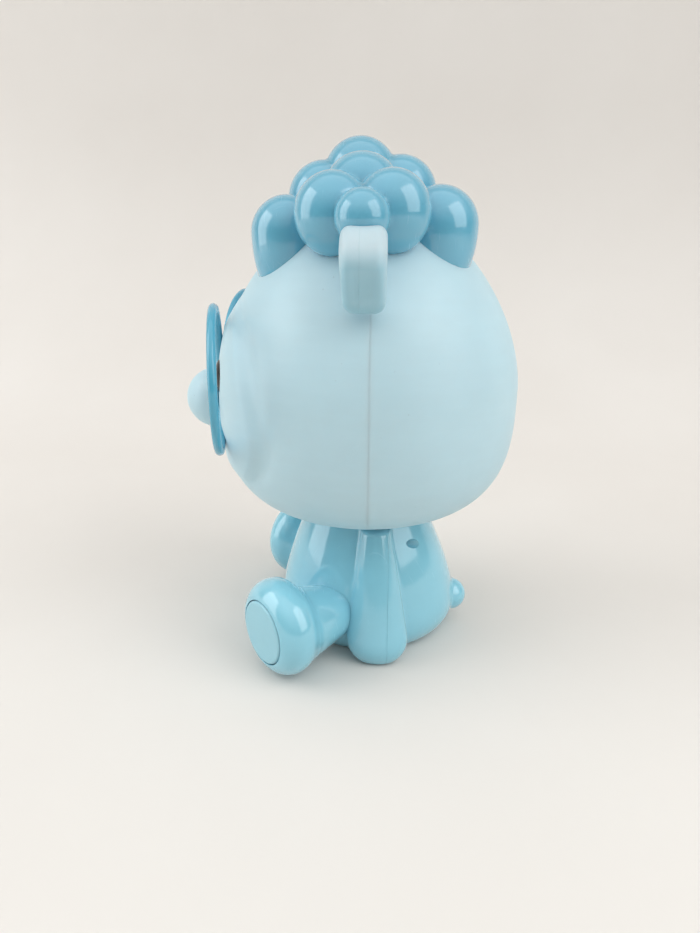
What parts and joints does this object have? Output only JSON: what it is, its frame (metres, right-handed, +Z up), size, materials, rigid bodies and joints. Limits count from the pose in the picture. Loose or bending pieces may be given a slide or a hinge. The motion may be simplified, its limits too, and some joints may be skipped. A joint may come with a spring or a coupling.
{
  "type": "seated puppy night light toy",
  "caption": "Seated puppy figure with a large frosted round head, ball-curl hair cap, round glasses and glossy body; battery light inside, head turns on its neck.",
  "frame": {"origin": "on the ground plane, under the vertical axis that the head turns about; the flat base rests there", "axes": "+Z up, the puppy looks along -Y, its left side is +X"},
  "size_m": [0.162, 0.1672, 0.25],
  "materials": {
    "gloss_body": "high gloss moulded ABS, pale sky blue",
    "satin_pad": "satin moulded plastic, pale sky blue",
    "frosted_diffuser": "frosted translucent polyethylene, very pale blue",
    "frosted_ear": "frosted soft plastic, very pale blue",
    "black_eye": "high gloss black",
    "gloss_hair": "high gloss moulded ABS, sky blue",
    "gloss_glasses": "high gloss moulded ABS, sky blue",
    "white_inner": "plain moulded, natural white",
    "felt": "pressed felt",
    "white_board": "white solder mask",
    "light_chip": "yellow phosphor",
    "screw_steel": "zinc plated",
    "base_blue": "fine spark texture, pale blue",
    "cell_can": "plain wrapped can",
    "contact_metal": "nickel plated spring steel",
    "green_board": "green solder mask",
    "dark_component": "black moulded",
    "wire_red": "soft insulation",
    "wire_black": "soft insulation"
  },
  "bodies": {
    "body": {"torso_front_shell": "gloss_body", "torso_rear_shell": "gloss_body", "left_leg_shell": "gloss_body", "right_leg_shell": "gloss_body", "left_sole_pad": "satin_pad", "right_sole_pad": "satin_pad", "neck_post": "white_inner", "friction_washer": "felt", "retaining_ring": "white_inner", "lamp_platform": "white_inner", "lamp_board": "white_board", "light_chips": "light_chip", "lamp_screws": "screw_steel", "base_plate": "base_blue", "battery_cells": "cell_can", "battery_contacts": "contact_metal", "main_board": "green_board", "board_components": "dark_component", "board_screws": "screw_steel", "switch_housing": "dark_component", "lamp_lead": "wire_red", "battery_lead": "wire_black", "base_screws": "screw_steel", "back_screws": "screw_steel", "leg_screws": "screw_steel"},
    "head": {"head_front_shell": "frosted_diffuser", "head_rear_shell": "frosted_diffuser", "nose": "frosted_diffuser", "left_ear": "frosted_ear", "right_ear": "frosted_ear", "left_eye": "black_eye", "right_eye": "black_eye", "hair_cap": "gloss_hair", "glasses_frame": "gloss_glasses", "neck_ring": "white_inner"},
    "switch": {"switch_knob": "dark_component"},
    "door": {"battery_door": "base_blue", "door_screw": "screw_steel"}
  },
  "joints": [
    {"name": "head_turn", "type": "hinge", "parent": "body", "child": "head", "pos_m": [0, 0, 0.07], "axis": [0, 0, 1], "range_deg": [-40, 40]},
    {"name": "power_switch", "type": "slide", "parent": "body", "child": "switch", "axis": [1, 0, 0], "range_m": [0, 0.003]},
    {"name": "battery_door", "type": "slide", "parent": "body", "child": "door", "axis": [0, 0, -1], "range_m": [0, 0.015]}
  ]
}
